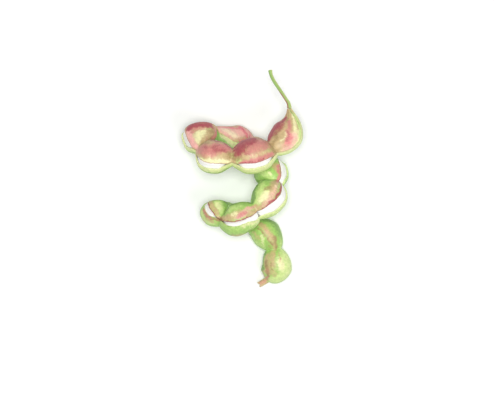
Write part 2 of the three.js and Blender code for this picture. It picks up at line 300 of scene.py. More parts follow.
# Where each colour of the ripe husk lies. A stroke has its colour, its half-width in millimetres, its
# strength, and points of its route: each a place along the pod and the degrees round it from the upper
# lip, over the upper valve, to the inner margin and on to the lower lip.
STROKES = [
    # the first chamber: crimson at its back, khaki, then pink and cream, the cream a painted highlight, dark
    # green by the stalk, and green along the suture
    ("dark_green_and_shade", 0.9, 0.9, (0.02, 45), (0.12, 36), (0.25, 28)), ("dark_green_and_shade", 0.9, 0.4, (0.1, 70), (0.3, 70)),
    ("dark_green_and_shade", 0.3, 0.7, (0.25, 20), (0.4, 10), (0.6, 10)),
    ("dark_green_and_shade", 0.6, 0.6, (0.3, 345), (0.75, 350), (0.95, 340)),
    ("fresh", 1.2, 1, (0.25, 10), (0.6, 10), (1.15, 3)),
    ("fresh", 1.2, 1, (1.15, 360), (1.25, 352), (1.4, 345)),
    ("brown", 0.7, 0.7, (0, 100), (0.1, 110), (0.3, 95)),
    ("brown", 0.9, 0.6, (0.1, 80), (0.3, 75), (0.5, 75)),
    ("brown", 1.2, 0.5, (0.85, 90), (1.1, 95), (1.25, 95)),
    ("brown", 1, 0.6, (1.2, 90), (1.3, 75), (1.5, 65)),
    ("pale_and_highlight", 1.1, 0.8, (0.25, 35), (0.5, 35), (0.75, 35), (1, 30)),
    ("pale_and_highlight", 0.6, 0.7, (0.75, 20), (1.05, 10), (1.3, 0)),
    ("pale_and_highlight", 1.3, 0.6, (1, 30), (1.15, 20), (1.35, 5)),
    ("pale_and_highlight", 0.45, 0.7, (1, 65), (1.15, 55), (1.25, 55)),
    ("rose", 1, 0.75, (0.5, 65), (0.75, 60), (0.95, 60), (1.1, 45)),
    ("rose", 1, 0.4, (0.6, 100), (0.95, 90)), ("pink", 1.5, 0.7, (0.95, 35), (1.1, 22), (1.3, 10)),
    ("blush", 1.1, 0.55, (1.05, 42), (1.15, 36), (1.22, 32)), ("rose", 1.3, 0.5, (1.1, 42), (1.25, 30)),
    ("deep", 1.5, 0.95, (0.35, 100), (0.6, 110), (0.95, 110), (1.1, 120), (1.4, 105)),
    ("deep", 1.8, 0.8, (0.75, 130), (0.95, 135), (1.2, 130), (1.4, 120)),
    ("deep", 1, 0.55, (0.45, 90), (0.7, 88), (1, 92), (1.15, 95)),
    ("deep", 0.6, 0.5, (0.95, 60), (1.1, 50), (1.2, 40)),
    # the second chamber: crimson at its back, pink and khaki in streaks with faint painted highlights, a
    # pink line along the lip
    ("brown", 1.1, 0.6, (1.5, 60), (1.55, 35), (1.5, 5)), ("brown", 0.9, 0.5, (1.6, 85), (1.55, 75)),
    ("fresh", 0.8, 0.4, (1.7, 35), (1.55, 45)), ("pale_and_highlight", 1.1, 0.2, (2.05, 45), (1.8, 50)),
    ("pale_and_highlight", 0.9, 0.25, (2.15, 30), (2, 30), (1.7, 35)),
    ("deep", 1.5, 0.9, (2.38, 75), (2.2, 100), (1.95, 105)),
    ("rose", 1.7, 0.8, (2.05, 70), (1.85, 75), (1.65, 80)),
    ("rose", 1.7, 0.7, (2.1, 45), (1.9, 50), (1.7, 55)),
    ("rose", 1.1, 0.9, (2.3, 5), (2.1, 10), (1.85, 15), (1.65, 15)),
    ("deep", 2, 0.75, (1.6, 125), (1.9, 125), (2.15, 120), (2.4, 105)),
    ("deep", 0.7, 0.5, (1.95, 95), (1.7, 100), (1.55, 110)), ("deep", 0.8, 0.5, (2.25, 50), (2.15, 40)),
    ("deep", 1.6, 0.85, (2.35, 50), (2.25, 70), (2.1, 80), (1.95, 85)),
    ("deep", 0.4, 0.7, (2.35, 5), (2.2, 5), (2.05, 5), (1.85, 10)),
    # the neck past it: brown, with two small green marks
    ("brown", 0.9, 0.6, (2.4, 45), (2.35, 30), (2.4, 20)),
    ("brown", 1.2, 0.7, (2.6, 65), (2.55, 55), (2.5, 30)), ("fresh", 0.9, 1, (2.35, 18), (2.35, 3)),
    ("fresh", 0.8, 1, (2.4, 357), (2.45, 350)), ("fresh", 0.45, 0.9, (2.5, 55), (2.5, 35)),
    # the third chamber: crimson and pink over khaki, pale along the lip
    ("brown", 1.4, 0.5, (2.95, 120), (3.2, 100), (3.45, 70)),
    ("brown", 0.8, 0.5, (3.5, 40), (3.4, 65), (3.15, 80)), ("fresh", 0.8, 0.6, (3.2, 5), (3.1, 10)),
    ("pale_and_highlight", 0.4, 1, (3, 40), (2.95, 30)), ("pale_and_highlight", 1.1, 0.25, (3, 20), (2.85, 22), (2.7, 25)),
    ("pale_and_highlight", 1, 1, (3.2, 5), (2.9, 10), (2.6, 15)), ("rose", 1.6, 0.7, (2.9, 85), (2.65, 85)),
    ("rose", 2.1, 0.85, (3.3, 50), (3, 55), (2.8, 65), (2.65, 80)),
    ("rose", 1.3, 0.6, (3.35, 28), (3.1, 34), (2.9, 38)),
    ("deep", 1.6, 0.55, (2.55, 110), (2.75, 125), (3.1, 110)), ("deep", 1.2, 0.55, (2.85, 55), (2.7, 65)),
    ("deep", 0.7, 0.6, (2.95, 105), (2.8, 120), (2.6, 100)), ("deep", 0.9, 0.45, (2.95, 65), (2.85, 80)),
    ("deep", 0.9, 0.5, (3.2, 55), (3.1, 60)),
    ("dark_green_and_shade", 1.1, 0.55, (3.4, 320), (3.1, 328), (2.85, 322), (2.6, 325)),
    # the fourth chamber: crimson round its far end, then pink, a cream painted highlight and olive
    ("fresh", 0.6, 0.7, (3.9, 95), (3.9, 105)), ("fresh", 0.5, 0.8, (3.9, 130), (3.9, 140)),
    ("brown", 1.8, 0.85, (3.83, 110), (3.85, 125), (3.8, 140), (3.65, 150), (3.6, 130)),
    ("brown", 0.9, 0.3, (3.8, 90), (3.7, 85)), ("pale_and_highlight", 1.5, 0.95, (3.78, 64), (3.65, 50)),
    ("pale_and_highlight", 1, 0.7, (3.85, 80), (3.75, 72)), ("pale_and_highlight", 1.4, 0.3, (3.75, 90), (3.6, 80)),
    ("pale_and_highlight", 1.4, 0.5, (3.8, 35), (3.65, 35)),
    ("pink", 1.6, 0.95, (3.95, 22), (3.8, 18), (3.65, 18), (3.5, 22)),
    ("rose", 1, 0.6, (3.9, 35), (3.95, 60), (3.9, 75)), ("rose", 0.8, 0.3, (3.6, 90), (3.5, 110)),
    ("deep", 1.7, 0.9, (4.14, 100), (4.17, 70), (4.15, 30)), ("deep", 1, 0.45, (4, 118), (4.1, 110)),
    ("deep", 0.9, 0.95, (4.02, 20), (4.02, 35), (4, 80), (4, 110)),
    ("dark_green_and_shade", 0.8, 0.5, (3.95, 325), (3.7, 325), (3.5, 330)),
    # the fifth chamber: pink with a cream painted highlight in its middle, and green on its lower valve; its
    # pink and cream are laid light, as painted light, where it lies in the shade of the chambers over it
    ("cream_highlight", 1.2, 0.95, (4.75, 108), (4.81, 122), (4.83, 136)),
    ("pale_and_highlight", 2.3, 1, (4.6, 174), (4.68, 182), (4.78, 186)),
    ("fresh", 2.4, 1, (4.55, 172), (4.65, 184), (4.78, 190)), ("dark_green_and_shade", 0.5, 0.7, (4.55, 155), (4.55, 195)),
    ("pink", 3, 0.9, (4.65, 100), (4.75, 125), (4.9, 120), (5.1, 115), (5.4, 100)),
    ("cream_highlight", 0.8, 0.4, (4.66, 110), (4.68, 125)), ("rose", 1.1, 0.4, (4.65, 80), (4.95, 75), (5.35, 85)),
    ("blush", 1.3, 0.85, (5.08, 90), (5.12, 106), (5.2, 122), (5.2, 139)),
    ("blush", 0.8, 0.6, (5.38, 92), (5.37, 121)), ("blush", 0.8, 0.9, (4.74, 80), (4.84, 84), (4.9, 90)),
    ("blush", 0.7, 0.6, (5.08, 88), (4.98, 98)), ("tan", 0.9, 0.5, (4.93, 152), (4.98, 140)),
    ("rose", 0.3, 0.7, (4.6, 145), (4.75, 158), (4.85, 164)),
    ("deep", 0.35, 0.4, (5.02, 88), (5.12, 100), (5.16, 112)), ("deep", 0.4, 0.5, (5.34, 125), (5.38, 134)),
    ("blush", 0.8, 0.7, (4.93, 158), (5.05, 155)),
    # the seventh chamber: green, olive at its top, pink along the lip, painted shade in the crease by the
    # next chamber and a small painted highlight
    ("dark_green_and_shade", 1.2, 0.7, (7, 130), (7.15, 140), (7.35, 140)),
    ("fresh", 1.8, 0.8, (7.2, 80), (7.35, 80), (7.5, 60)),
    ("tan", 1.3, 0.85, (6.95, 45), (7.1, 35), (7.2, 25)), ("brown", 0.9, 0.5, (6.95, 30), (7.05, 35)),
    ("pale_and_highlight", 0.7, 0.85, (7.3, 60), (7.35, 60)),
    ("rose", 1, 0.9, (7.1, 15), (7.3, 17), (7.45, 15), (7.6, 30)),
    ("deep", 0.35, 0.7, (6.95, 5), (7.2, 5), (7.5, 5)),
    # the eighth chamber: dark green painted shade at its back and under the seventh, a painted highlight and
    # a cream spot of painted highlight, tan and rose to a crimson lip
    ("dark_green_and_shade", 1.4, 0.9, (8.05, 120), (8.2, 112), (8.35, 100), (8.45, 80)),
    ("dark_green_and_shade", 0.6, 0.7, (7.85, 105), (7.75, 85), (7.65, 70)),
    ("fresh", 1.4, 0.8, (8, 85), (8.15, 78), (8.3, 65)),
    ("tan", 1.7, 0.9, (7.65, 40), (7.85, 45), (8, 35), (8.15, 28), (8.35, 20)),
    ("tan", 0.7, 0.7, (8.5, 50), (8.45, 20)), ("brown", 0.8, 0.7, (8.08, 62), (7.98, 50)),
    ("pale_and_highlight", 1.4, 0.9, (8.17, 47), (8.3, 43)), ("fresh", 2, 0.9, (8.15, 55), (8.35, 48)),
    ("pink", 1.2, 0.45, (7.65, 27), (7.85, 30), (8.05, 27), (8.3, 17)),
    ("cream_highlight", 0.6, 0.5, (7.8, 36), (7.85, 33)),
    ("deep", 0.5, 0.95, (7.55, 8), (7.75, 10), (7.95, 10), (8.1, 8), (8.25, 5), (8.4, 6)),
    ("deep", 0.6, 0.7, (7.95, 14), (8.02, 14)), ("deep", 0.6, 0.7, (8.15, 10), (8.25, 12)),
    # the ninth chamber: green above, with painted shade along its top edge, khaki and rose below with small
    # painted highlights, a thin dark lip
    ("dark_green_and_shade", 0.6, 0.8, (9.4, 40), (9.25, 60), (9.1, 80), (8.9, 90)),
    ("dark_green_and_shade", 0.6, 0.5, (8.6, 85), (8.5, 70)), ("fresh", 1.5, 0.6, (9.15, 50), (9, 60), (8.85, 60)),
    ("tan", 1.6, 0.9, (9.45, 12), (9.25, 18), (9.05, 25), (8.9, 30)),
    ("tan", 0.8, 0.7, (8.65, 45), (8.5, 42)), ("brown", 0.8, 0.8, (9.5, 10), (9.4, 5)),
    ("pale_and_highlight", 0.7, 0.5, (9, 38), (8.95, 40)), ("pink", 1.3, 0.7, (8.85, 20), (8.75, 30), (8.6, 38)),
    ("rose", 0.9, 0.6, (8.87, 20), (8.75, 25)), ("rose", 0.7, 0.6, (8.92, 18), (8.8, 24)),
    ("pale_and_highlight", 0.6, 0.7, (9.1, 29), (8.97, 33)), ("deep", 0.3, 0.8, (9.45, 3), (9.2, 3), (8.9, 4), (8.6, 5)),
    ("pale_and_highlight", 1, 0.6, (8.85, 352), (8.7, 350), (8.55, 345)),
    ("tan", 1.1, 0.85, (8.72, 14), (8.62, 16), (8.5, 16)),
    ("dark_green_and_shade", 1.3, 0.5, (9.35, 300), (9.1, 305), (8.8, 305)),
    # the tenth chamber: green, with painted shade at its back and a painted highlight, tan by the lips and
    # reddish inside the lower one
    ("dark_green_and_shade", 1.1, 0.8, (10.1, 80), (10, 105), (9.85, 115)),
    ("fresh", 1.9, 1, (10.05, 48), (9.85, 46), (9.65, 46)), ("pale_and_highlight", 1.2, 0.7, (9.95, 42), (9.75, 40)),
    ("tan", 1.3, 0.85, (10.15, 15), (9.85, 18), (9.65, 20)),
    ("deep", 0.35, 0.85, (10.3, 3), (10, 3), (9.75, 4), (9.55, 5)),
    ("fresh", 1.4, 0.8, (10, 335), (9.8, 325), (9.65, 315)),
    ("brown", 0.9, 0.8, (10, 354), (9.8, 352), (9.65, 345)), ("rose", 0.9, 0.55, (9.95, 352), (9.7, 348)),
    ("tan", 1, 0.7, (9.7, 338), (9.62, 330)), ("brown", 0.9, 0.9, (9.55, 350), (9.5, 360)),
    ("brown", 0.9, 0.9, (9.5, 2), (9.5, 10)),
    # the twelfth chamber: green, with painted shade along its edges and a small painted highlight, its
    # suture as a dark line and tan beside it
    ("dark_green_and_shade", 2, 0.7, (11.65, 105), (11.8, 100), (12, 105), (12.15, 100)),
    ("fresh", 1, 0.6, (12.25, 105), (12.4, 98)),
    ("fresh", 1.4, 0.5, (11.95, 230), (12.2, 222), (12.35, 200)),
    ("tan", 1.5, 0.85, (11.65, 150), (11.85, 160), (12.1, 155)),
    ("tan", 1.3, 0.75, (12.15, 150), (12.3, 142), (12.45, 135)), ("tan", 1, 0.6, (11.8, 205), (12.05, 205)),
    ("brown", 0.35, 0.9, (11.75, 178), (11.95, 177), (12.1, 172), (12.25, 160), (12.4, 148)),
    ("brown", 1, 0.75, (12.2, 138), (12.3, 135), (12.45, 128)),
    ("brown", 0.8, 0.4, (12.35, 170), (12.4, 160)),
    ("pale_and_highlight", 0.9, 0.6, (12.05, 185), (12.15, 188), (12.22, 190)),
    ("rose", 0.9, 0.35, (11.9, 165), (12, 160)),
    # the last chamber: yellow-green with a cream painted highlight in its middle, painted shade and brown on
    # the left, and reddish at the beak
    ("dark_green_and_shade", 1.5, 0.85, (12.65, 205), (12.9, 205), (13.1, 198), (13.3, 180)),
    ("dark_green_and_shade", 0.9, 0.5, (12.55, 165), (12.65, 165)),
    ("fresh", 3.4, 1, (12.7, 85), (12.9, 72), (13.15, 75), (13.4, 85)),
    ("fresh", 2, 1, (13.35, 65), (13.5, 95)), ("pale_and_highlight", 2, 0.3, (12.75, 80), (12.95, 70), (13.2, 72)),
    ("tan", 1.7, 0.85, (12.7, 178), (12.9, 174), (13.1, 160), (13.35, 145)),
    ("tan", 1.5, 0.8, (12.6, 150), (12.8, 148), (12.95, 142)),
    ("tan", 1.2, 0.5, (13.15, 132), (13.35, 115)),
    ("brown", 1, 0.9, (12.9, 176), (13.1, 165), (13.3, 152), (13.5, 132)),
    ("rose", 0.6, 0.4, (13.1, 163), (13.3, 150)),
    ("brown", 0.35, 0.6, (12.9, 152), (13.05, 147), (13.15, 135)),
    ("fresh", 0.5, 0.7, (12.97, 143), (13, 140)),
    ("pale_and_highlight", 1.9, 0.45, (12.78, 118), (12.95, 110), (13.05, 105)),
    ("pale_and_highlight", 1.2, 0.9, (12.85, 112), (12.98, 105)), ("rose", 0.35, 0.5, (12.6, 119), (12.85, 113)),
    ("rose", 1.2, 0.6, (13.65, 110), (14, 100)), ("rose", 0.8, 0.9, (13.55, 130), (13.8, 136), (14, 128)),
]
PLACE_LENGTH = 15.0  # millimetres from one place to the next
RADIAN_LENGTH = 6.4  # and to a radian round the pod
STROKE_FADE = (1.8, 0.2)  # a stroke comes in between these distances, in half-widths from its route
# How ragged a stroke's edge is, along the pod and round it, and where the blotches of the bare side
# lie: each as layers of noise with the size of their lumps in millimetres, their strength and a seed.
RAGGED_ALONG = ((1.6, 0.55, 3), (0.7, 0.35, 7))
RAGGED_ROUND = ((1.6, 0.55, 13), (0.7, 0.45, 17))
BLOTCHES = ((6, 0.7, 23), (2.5, 0.5, 29))
# Where colours lie that no stroke gives: places, or degrees round the pod, between which each comes in.
FIRST_TURN = (6.6, 5.8)  # the first turn, which is ripest
RIPE_VALVE = (172, 150)  # its upper valve
BEAK = (13.62, 13.75)  # the beak, which is dry
BARE_SIDE = ((112, 140), (335, 300))  # the side that the strokes leave bare: its start and its end
FIFTH_CHAMBER = ((4.45, 4.55), (5.6, 5.5))  # the chamber where they reach further round
FIFTH_SIDE = (215, 195)  # and where they end there
BRIGHT_CHAMBERS = ((7.6, 7.8), (8.9, 8.6))  # two more chambers whose lower valve is bright
BRIGHT_SHARE = 0.7  # and how bright it is, beside the first turn's
BRIGHT_SIDE = (290, 330)  # the bright part of the lower valve
LOWER_LIP = (325, 350)
LIP_PALE = 0.5  # how pale the lower lip is
LIP_FRESH = (0.7, 0.35)  # and how fresh its green, before and past the place where it darkens
LIP_DARKENS = (8.7, 8.9)
BARE_TAN = (0.15, 0.5)  # blotches that rise over this are tan on the bare side
BARE_TAN_SHARE = 0.7  # and how tan
BARE_ROSE = (-0.3, 0.3)  # blotches that rise over this are rose there, in the first turn
LINE_SIDE = (120, 60)  # degrees: the dark line runs along the upper lip
LINE_PARTED = 0.8  # how dark it is where the lips have parted
LINE_CLOSED = 0.2  # and along the closed suture


def washed(strokes, place, turn):
    """How much of a colour's strokes lies at each point."""
    bare = np.ones(len(place))
    x, y = place * PLACE_LENGTH, turn * RADIAN_LENGTH
    for width, strength, *route in strokes:
        route = np.array(route, float) * (PLACE_LENGTH, math.radians(1) * RADIAN_LENGTH)
        near = np.full(len(place), np.inf)
        for (x0, y0), (x1, y1) in zip(route[:-1], route[1:]):
            dx, dy = x1 - x0, y1 - y0
            share = np.clip(((x - x0) * dx + (y - y0) * dy) / (dx * dx + dy * dy), 0, 1)
            near = np.minimum(near, np.hypot(x - x0 - share * dx, y - y0 - share * dy))
        bare *= 1 - strength * smooth(*STROKE_FADE, near / width)
    return 1 - bare


def lumps(layers):
    """Smooth noise at each point of the husk, in layers."""
    return sum(strength * np.array([noise.noise(Vector((x / size + seed, y / size, z / size)))
                                    for x, y, z in points]) for size, strength, seed in layers)


def within(value, rise, fall):
    """1 between two stretches over which it rises and falls, and 0 outside them."""
    return smooth(*rise, value) * smooth(*fall, value)


def also(name, amount):
    """Lets one of the husk's colours also lie where it has this amount."""
    washes[name] = np.maximum(washes[name], amount)


place, turn, along, parted = (np.concatenate([ring[key] for ring in rings])
                              for key in ("place", "turn", "along", "parted"))
degrees = np.degrees(turn)
ragged_place = place + lumps(RAGGED_ALONG) / PLACE_LENGTH
ragged_turn = turn + lumps(RAGGED_ROUND) / RADIAN_LENGTH
ragged_degrees = np.degrees(ragged_turn)
blotches = lumps(BLOTCHES)
washes = {name: washed([stroke[1:] for stroke in STROKES if stroke[0] == name], ragged_place, ragged_turn)
          for name in list(HUSK_COLOURS)[1:]}
first_turn = smooth(*FIRST_TURN, place)
ripe = first_turn * smooth(*RIPE_VALVE, ragged_degrees)
bare_side = within(degrees, *BARE_SIDE)
bare_side *= 1 - within(place, *FIFTH_CHAMBER) * smooth(*FIFTH_SIDE, degrees)
also("tan", ripe * (1 - washes["fresh"]) * (1 - washes["dark_green_and_shade"]))
also("tan", smooth(*BEAK, ragged_place))
also("tan", BARE_TAN_SHARE * bare_side * smooth(*BARE_TAN, blotches))
also("rose", ripe * bare_side * smooth(*BARE_ROSE, blotches))
lower_lip = smooth(*LOWER_LIP, ragged_degrees)
bright = np.maximum(first_turn, BRIGHT_SHARE * within(place, *BRIGHT_CHAMBERS))
also("pale_and_highlight", LIP_PALE * lower_lip * bright)
also("fresh", smooth(*BRIGHT_SIDE, ragged_degrees) * bright)
also("fresh", mix(*LIP_FRESH, smooth(*LIP_DARKENS, place)) * lower_lip)
for name, amounts in washes.items():
    lay(husk, name, amounts)
lay(husk, "inside", np.concatenate([ring["inside"] for ring in rings]))
lay(husk, "from_lip", np.concatenate([ring["lip"] for ring in rings]))
lay(husk, "lip_line", parted * smooth(*LINE_SIDE, degrees) * LINE_PARTED + (1 - parted) * LINE_CLOSED)
lay(husk, "grown", np.stack([along, turn * RADIAN_LENGTH, np.zeros(len(turn))], 1))


def add(tree, kind, inputs=(), out=0, **settings):
    """Adds a shader node with its inputs, each a value or another node's output, and gives one output."""
    node = tree.nodes.new("ShaderNode" + kind)
    for name, value in settings.items():
        setattr(node, name, value)
    for key, value in dict(inputs).items():
        if isinstance(value, bpy.types.NodeSocket):
            tree.links.new(value, node.inputs[key])
        else:
            node.inputs[key].default_value = value
    return node.outputs[out]


def group(name, numbers, gives):
    """An empty shader node group. Its inputs are a Place, in millimetres, and these numbers."""
    tree = bpy.data.node_groups.new(name, "ShaderNodeTree")
    tree.interface.new_socket("Place", in_out="INPUT", socket_type="NodeSocketVector")
    for label, value in numbers.items():
        tree.interface.new_socket(label, in_out="INPUT", socket_type="NodeSocketFloat").default_value = value
    tree.interface.new_socket(gives, in_out="OUTPUT", socket_type="NodeSocketFloat")
    return tree, tree.nodes.new("NodeGroupInput").outputs, tree.nodes.new("NodeGroupOutput").inputs


def use(tree, made, **inputs):
    """Places a node group in a material with its own values."""
    node = tree.nodes.new("ShaderNodeGroup")
    node.node_tree = made
    for key, value in inputs.items():
        if isinstance(value, bpy.types.NodeSocket):
            tree.links.new(value, node.inputs[key])
        else:
            node.inputs[key].default_value = value
    return node.outputs[0]


# A patch of colour on living skin: solid in its middle, broken up into short streaks at its edge.
STREAK_SHAPE = (1, 0.4, 1)  # streaks are two and a half times as long as they are wide
patch, given, gives = group("patch", {"Amount": 0, "Streak": 0.5, "Wildness": 0.5}, "Amount")
scale = add(patch, "Math", {0: 1, 1: given["Streak"]}, operation="DIVIDE")
streaked = add(patch, "VectorMath", {0: given["Place"], 1: STREAK_SHAPE}, operation="MULTIPLY")
noisy = add(patch, "TexNoise", {"Vector": streaked, "Scale": scale, "Detail": 3, "Roughness": 0.65})
centred = add(patch, "Math", {0: noisy, 1: 0.5}, operation="SUBTRACT")
bare = add(patch, "Math", {0: 1, 1: given["Amount"]}, operation="SUBTRACT")
at_edge = add(patch, "Math", {0: bare, 1: given["Amount"]}, operation="MULTIPLY")
swing = add(patch, "Math", {0: centred, 1: given["Wildness"]}, operation="MULTIPLY")
shifted = add(patch, "Math", {0: at_edge, 1: swing, 2: given["Amount"]}, operation="MULTIPLY_ADD")
patch.links.new(add(patch, "MapRange", {"Value": shifted}, interpolation_type="SMOOTHSTEP"), gives["Amount"])

# Fine pores and shallow wrinkles, as a height from 0 to 1.
PORE_SHARE = 0.3
pores, given, gives = group("pores", {"Pore": 0.4, "Wrinkle": 1.5}, "Height")
small = add(pores, "Math", {0: 1, 1: given["Pore"]}, operation="DIVIDE")
large = add(pores, "Math", {0: 1, 1: given["Wrinkle"]}, operation="DIVIDE")
pore = add(pores, "TexNoise", {"Vector": given["Place"], "Scale": small, "Detail": 2})
wrinkle = add(pores, "TexNoise", {"Vector": given["Place"], "Scale": large, "Detail": 3, "Distortion": 0.6})
wide = add(pores, "Math", {0: wrinkle, 1: 1 - PORE_SHARE}, operation="MULTIPLY")
rough = add(pores, "Math", {0: pore, 1: PORE_SHARE, 2: wide}, operation="MULTIPLY_ADD")
pores.links.new(rough, gives["Height"])


def finish(name):
    """A new material, with its nodes, its shader, and the spot on the piece in millimetres."""
    material = bpy.data.materials.new(name)
    material.use_nodes = True
    tree = material.node_tree
    metres = add(tree, "TexCoord", out="Object")
    spot = add(tree, "VectorMath", {0: metres, "Scale": 1 / MM}, operation="SCALE")
    return material, tree, tree.nodes["Principled BSDF"], spot


def laid(tree, name):
    """What was laid under this name at the points of a piece."""
    return add(tree, "Attribute", out="Fac", attribute_name=name)


def colour(red, green, blue):
    """A colour given as a painter reads it, from 0 to 255, as light."""
    return (*(((v / 255 + 0.055) / 1.055) ** 2.4 for v in (red, green, blue)), 1)


def over(tree, amount, under, above):
    """A colour with another above it, by an amount from 0 to 1."""
    return add(tree, "Mix", {0: amount, 6: under, 7: above}, out=2, data_type="RGBA")


def patched(tree, spot, colours, streak, wildness, apart=0):
    """The first of these colours with patches of the others over it, each where its own name was laid.
    Their edges differ where they take their pattern from spots that are some millimetres apart."""
    (_, ground), *others = colours.items()
    shade = colour(*ground)
    for number, (name, tint) in enumerate(others):
        shifted = add(tree, "VectorMath", {0: spot, 1: (apart * number, 0, 0)}, operation="ADD")
        amount = use(tree, patch, Place=shifted, Amount=laid(tree, name), Streak=streak, Wildness=wildness)
        shade = over(tree, amount, shade, colour(*tint))
    return shade


def surface(tree, shader, shade, height, bump, smoothest, roughest):
    """Gives a material its colour, the relief of a height, and a roughness that follows it. The bump is
    its strength and its depth in millimetres."""
    strength, depth = bump
    relief = add(tree, "Bump", {"Height": height, "Strength": strength, "Distance": depth * MM})
    rough = add(tree, "MapRange", {"Value": height, "To Min": smoothest, "To Max": roughest})
    tree.links.new(shade, shader.inputs["Base Color"])
    tree.links.new(relief, shader.inputs["Normal"])
    tree.links.new(rough, shader.inputs["Roughness"])


husk_finish, tree, shader, spot = finish("husk")
grown = add(tree, "Attribute", out="Vector", attribute_name="grown")
shade = patched(tree, grown, HUSK_COLOURS, streak=0.6, wildness=6, apart=31)
mottle = add(tree, "TexNoise", {"Vector": spot, "Scale": 0.8, "Detail": 4, "Roughness": 0.6})
mottle = add(tree, "MapRange", {"Value": mottle, "From Min": 0.3, "From Max": 0.7,
                                "To Min": 0.86, "To Max": 1.1})
shade = add(tree, "VectorMath", {0: shade, "Scale": mottle}, operation="SCALE")
shade = over(tree, laid(tree, "inside"), shade, colour(*HUSK_INSIDE))
edge = add(tree, "MapRange", {"Value": laid(tree, "from_lip"), "From Min": 0.5, "From Max": 0.1},
           interpolation_type="SMOOTHSTEP")
edge = use(tree, patch, Place=grown, Amount=edge, Streak=0.8, Wildness=5)
edge = add(tree, "Math", {0: edge, 1: laid(tree, "lip_line")}, operation="MULTIPLY")
shade = over(tree, edge, shade, colour(*LIP_LINE))
height = use(tree, pores, Place=spot, Pore=0.35, Wrinkle=1.6)
surface(tree, shader, shade, height, bump=(0.5, 0.12), smoothest=0.38, roughest=0.62)
husk.data.materials.append(husk_finish)
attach(husk, "root")
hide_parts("husk")

# The arils: the soft white flesh round each seed, one to a chamber. Each fills its chamber and shows
# between the parted lips as a rounded crest. Nothing fixes it but the husk round it.
# The aril's white is darker in the hollows of its relief, as painted shade, and lightest on its heights.
ARIL_COLOURS = ((246, 246, 241), (255, 254, 250))  # in its hollows and on its heights
ARIL_GAP = 0.04  # between an aril and the valves
ARIL_REACH = 0.44  # half an aril's length, in chambers
ARIL_REACH_OPEN = 0.498  # and towards a neck that stands open
ARIL_ROUNDNESS = 8  # the power by which its ends close: 2 would be round, and more is blunter
ARIL_ROUNDNESS_OPEN = 60  # and towards a neck that stands open
ARIL_END = 1.52  # its rings lie closer towards its ends, as the sines of angles up to this one do
ARIL_CENTRE = 0.1  # how far out of the pod's middle its ends close, as a share of the half-width
ARIL_SINK = 0.05  # how far the middle of its crest stays below the lips
ARIL_SHOULDER = 0.3  # and how much lower the crest's shoulders are
SHOULDER_ROUNDNESS = 6  # the power by which the shoulders fall away
SHOULDER_FALL = 0.98  # and how much of their fall they keep, so that none stands upright
ARIL_SLOPE = 0.8  # and how much further it sinks from the upper lip to the lower one
ARIL_CROWN = 0.02  # how much the crest rises in its middle
CREST_GAP = (0.3, 0.5)  # the crest comes out as the gap between the lips grows from this to this
NARROWEST_CREST = 0.004  # radians to each side
ARIL_RINGS = 64
POINTS_TO_A_CREST = 22
POINTS_TO_A_BODY = 26


def aril_ring(chamber, share):
    """The ring round an aril at a share of its reach before or past its chamber's middle."""
    opens = CHAMBERS[chamber if share > 0 else chamber - 1].get("neck")
    s = section(chamber + (ARIL_REACH_OPEN if opens else ARIL_REACH) * share)
    a, b = s["a"] - (WALL + LIP_WALL) / 2 - ARIL_GAP, s["b"] - WALL - ARIL_GAP
    root = s["a"] + (WALL - LIP_WALL) / 2
    turn = np.linspace(0, 2 * math.pi, POINTS_TO_A_BODY + 2)[1:-1]
    swing = swing_at(s, turn)
    arm = root + a * np.cos(turn)
    body_x = arm * np.cos(swing) - b * np.sin(turn) * np.sin(swing) - s["a"]
    body_y = arm * np.sin(swing) + b * np.sin(turn) * np.cos(swing)
    side = (ARIL_GAP + SUTURE) / (2 * s["a"])
    low, high = min(side - s["lower"], -NARROWEST_CREST), max(s["upper"] - side, NARROWEST_CREST)
    across = np.linspace(-1, 1, POINTS_TO_A_CREST)
    angle = (high + low) / 2 + (high - low) / 2 * np.sin(across * math.pi / 2)
    shoulder = 1 - np.sqrt(1 - SHOULDER_FALL * across ** SHOULDER_ROUNDNESS)
    crest = 2 * s["a"] - ARIL_SINK - ARIL_SHOULDER * shoulder - ARIL_SLOPE * smooth(1, -1, across)
    radius = mix(root + a, np.maximum(crest, root + a), smooth(*CREST_GAP, gap(s)))
    radius += ARIL_CROWN * (1 - across ** 2)
    x = np.concatenate([body_x, radius * np.cos(angle) - s["a"]])
    y = np.concatenate([body_y, radius * np.sin(angle)])
    shrink = math.sqrt(1 - abs(share) ** (ARIL_ROUNDNESS_OPEN if opens else ARIL_ROUNDNESS))
    x, y = mix(s["a"] * ARIL_CENTRE, x, shrink), y * shrink
    return s["middle"] + np.outer(x, s["out"]) + np.outer(y, s["up"])


aril_finish, tree, shader, spot = finish("aril")
spongy = use(tree, pores, Place=spot, Pore=0.5, Wrinkle=2.2)
# Painted shade: the hollows of the relief take the darker white.
painted_hollow_shade = add(tree, "MapRange", {"Value": spongy, "From Min": 0.35, "From Max": 0.6})
shade = over(tree, painted_hollow_shade, colour(*ARIL_COLOURS[0]), colour(*ARIL_COLOURS[1]))
surface(tree, shader, shade, spongy, bump=(0.6, 0.18), smoothest=0.45, roughest=0.65)
shares = np.sin(np.linspace(-ARIL_END, ARIL_END, ARIL_RINGS))
for chamber, row in enumerate(CHAMBERS):
    if "lips" not in row:
        continue
    aril = skin(f"flesh_{chamber}", [aril_ring(chamber, share) for share in shares])
    aril.data.materials.append(aril_finish)
    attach(aril, "root")
    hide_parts(f"aril_{chamber}")

